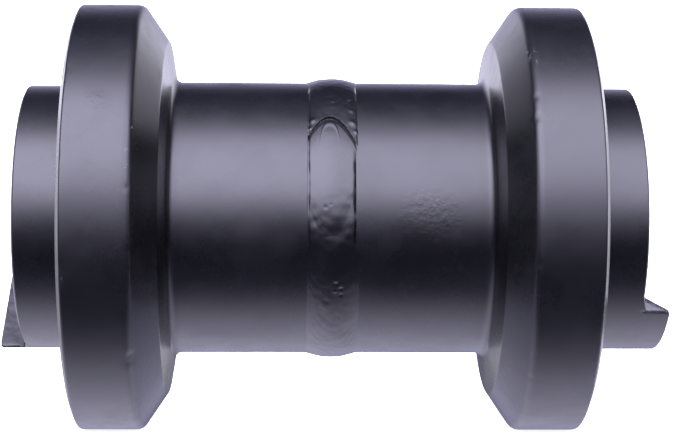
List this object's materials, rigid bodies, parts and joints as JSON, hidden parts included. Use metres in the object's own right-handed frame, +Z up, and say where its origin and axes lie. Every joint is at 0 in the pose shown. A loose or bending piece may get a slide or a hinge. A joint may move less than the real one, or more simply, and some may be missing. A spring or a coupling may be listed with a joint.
{
  "type": "track roller",
  "caption": "Outer-flanged bottom track roller of a small excavator: welded two-part shell turning on a sealed, bushed shaft, with round end collars and half-moon lugs.",
  "frame": {"origin": "on the roller's axis, midway between the lug tips", "axes": "+X along the shaft towards the right collar and its plugged end, +Z up, +Y away from the viewer"},
  "size_m": [0.2, 0.13, 0.13],
  "materials": {
    "black_paint_on_shell": "satin black enamel",
    "black_paint_on_weld": "satin black enamel over weld ripples",
    "black_paint_on_collars": "satin black enamel",
    "ground_shaft_steel": "ground and lightly oiled",
    "zinc_plated_steel": "zinc plated",
    "copper_washer": "dull",
    "bronze": "machined",
    "lapped_seal_iron": "lapped",
    "nitrile_rubber": "matt",
    "black_spring_steel": "phosphated"
  },
  "bodies": {
    "shaft": {"shaft": "ground_shaft_steel", "oil_plug": "zinc_plated_steel", "plug_seal": "copper_washer", "left_snap_ring": "black_spring_steel", "right_snap_ring": "black_spring_steel"},
    "shell": {"left_shell": "black_paint_on_shell", "right_shell": "black_paint_on_shell", "shell_weld": "black_paint_on_weld", "left_bush": "bronze", "left_roller_seal_ring": "lapped_seal_iron", "left_roller_toric": "nitrile_rubber", "right_bush": "bronze", "right_roller_seal_ring": "lapped_seal_iron", "right_roller_toric": "nitrile_rubber"},
    "left_collar": {"left_collar": "black_paint_on_collars", "left_collar_seal_ring": "lapped_seal_iron", "left_collar_toric": "nitrile_rubber", "left_o_ring": "nitrile_rubber"},
    "right_collar": {"right_collar": "black_paint_on_collars", "right_collar_seal_ring": "lapped_seal_iron", "right_collar_toric": "nitrile_rubber", "right_o_ring": "nitrile_rubber"}
  },
  "joints": [
    {"name": "shell_spin", "type": "hinge", "parent": "shaft", "child": "shell", "pos_m": [0, 0, 0], "axis": [1, 0, 0], "continuous": true},
    {"name": "left_collar_turn", "type": "hinge", "parent": "shaft", "child": "left_collar", "pos_m": [0, 0, 0], "axis": [1, 0, 0], "continuous": true},
    {"name": "right_collar_turn", "type": "hinge", "parent": "shaft", "child": "right_collar", "pos_m": [0, 0, 0], "axis": [1, 0, 0], "continuous": true}
  ]
}
